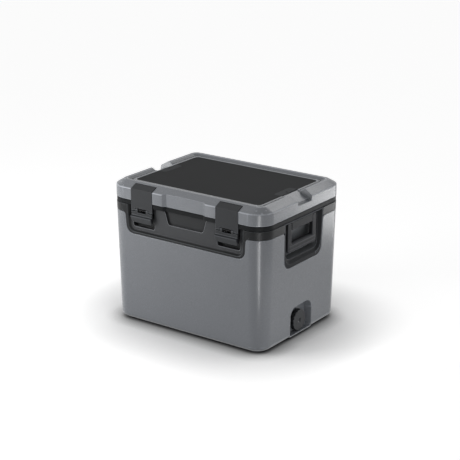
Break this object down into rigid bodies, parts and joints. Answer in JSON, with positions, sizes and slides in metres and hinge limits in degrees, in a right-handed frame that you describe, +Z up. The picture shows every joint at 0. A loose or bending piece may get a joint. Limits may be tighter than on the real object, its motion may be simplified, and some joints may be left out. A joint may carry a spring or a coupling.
{
  "type": "hard cooler box",
  "caption": "Rectangular hard cooler box with a latched hinged lid, swing handles in the ends, a strap channel in each lid end and a screw-in drain.",
  "frame": {"origin": "on the floor under the middle of the cooler, halfway between its ends and halfway between the latch ridges and the hinge barrels", "axes": "+X towards the end with the drain, +Y from the latches to the hinges, +Z up"},
  "size_m": [0.47, 0.37, 0.3705],
  "materials": {
    "shell_grey": "satin",
    "collar_charcoal": "satin",
    "handle_charcoal": "satin",
    "latch_charcoal": "satin",
    "panel_black": "matte",
    "inlay_charcoal": "satin",
    "liner_light": "satin",
    "foam": "matte",
    "rubber_black": "matte",
    "drain_black": "satin",
    "hinge_charcoal": "satin",
    "steel": "satin",
    "dark_steel": "satin"
  },
  "bodies": {
    "tub": {"outer_shell": "shell_grey", "collar_frame": "collar_charcoal", "inner_liner": "liner_light", "body_insulation": "foam", "handle_housing_left": "collar_charcoal", "handle_housing_right": "collar_charcoal", "handle_bracket_left": "handle_charcoal", "handle_bracket_right": "handle_charcoal", "handle_pin_left": "steel", "handle_pin_right": "steel", "latch_keeper_left": "latch_charcoal", "latch_keeper_right": "latch_charcoal", "keeper_screws": "steel", "rubber_feet": "rubber_black", "drain_bushing": "drain_black", "drain_lock_nut": "drain_black", "hinge_tub_leaf_left": "hinge_charcoal", "hinge_tub_leaf_right": "hinge_charcoal", "hinge_pin_left": "steel", "hinge_pin_right": "steel", "hinge_tub_screws": "steel"},
    "lid": {"lid_shell": "shell_grey", "lid_frame": "collar_charcoal", "lid_gasket": "rubber_black", "lid_liner": "liner_light", "lid_insulation": "foam", "lid_top_panel": "panel_black", "lid_end_plate_left": "inlay_charcoal", "lid_end_plate_right": "inlay_charcoal", "lid_plate_screws": "dark_steel", "hinge_lid_leaf_left": "hinge_charcoal", "hinge_lid_leaf_right": "hinge_charcoal", "hinge_lid_screws": "steel", "strap_pin_left": "steel", "strap_pin_right": "steel"},
    "strap_left": {"latch_strap_left": "latch_charcoal"},
    "lever_left": {"latch_lever_left": "latch_charcoal", "lever_pin_left": "dark_steel"},
    "bail_left": {"handle_left": "handle_charcoal"},
    "strap_right": {"latch_strap_right": "latch_charcoal"},
    "lever_right": {"latch_lever_right": "latch_charcoal", "lever_pin_right": "dark_steel"},
    "bail_right": {"handle_right": "handle_charcoal"},
    "drain_slider": {"drain_seal": "rubber_black"},
    "drain_cap": {"drain_knob": "drain_black"}
  },
  "joints": [
    {"name": "lid_hinge", "type": "hinge", "parent": "tub", "child": "lid", "pos_m": [0, 0.18, 0.3155], "axis": [-1, 0, 0], "range_deg": [0, 100]},
    {"name": "strap_swing_left", "type": "hinge", "parent": "lid", "child": "strap_left", "pos_m": [-0.13, -0.16153, 0.36263], "axis": [-1, 0, 0], "range_deg": [0, 90]},
    {"name": "lever_swing_left", "type": "hinge", "parent": "strap_left", "child": "lever_left", "pos_m": [-0.13, -0.1765, 0.3055], "axis": [-1, 0, 0], "range_deg": [0, 75]},
    {"name": "strap_swing_right", "type": "hinge", "parent": "lid", "child": "strap_right", "pos_m": [0.13, -0.16153, 0.36263], "axis": [-1, 0, 0], "range_deg": [0, 90]},
    {"name": "lever_swing_right", "type": "hinge", "parent": "strap_right", "child": "lever_right", "pos_m": [0.13, -0.1765, 0.3055], "axis": [-1, 0, 0], "range_deg": [0, 75]},
    {"name": "handle_swing_left", "type": "hinge", "parent": "tub", "child": "bail_left", "pos_m": [-0.22347, 0, 0.303], "axis": [0, 1, 0], "range_deg": [0, 90]},
    {"name": "handle_swing_right", "type": "hinge", "parent": "tub", "child": "bail_right", "pos_m": [0.22347, 0, 0.303], "axis": [0, -1, 0], "range_deg": [0, 90]},
    {"name": "drain_slide", "type": "slide", "parent": "tub", "child": "drain_slider", "axis": [1, 0, 0], "range_m": [0, 0.012]},
    {"name": "drain_turn", "type": "hinge", "parent": "drain_slider", "child": "drain_cap", "pos_m": [0.21384, 0, 0.0395], "axis": [1, 0, 0], "range_deg": [0, 1080]}
  ],
  "couplings": [
    {"joint": "drain_slide", "follows": "drain_turn", "m_per_rad": 0.00063662}
  ]
}
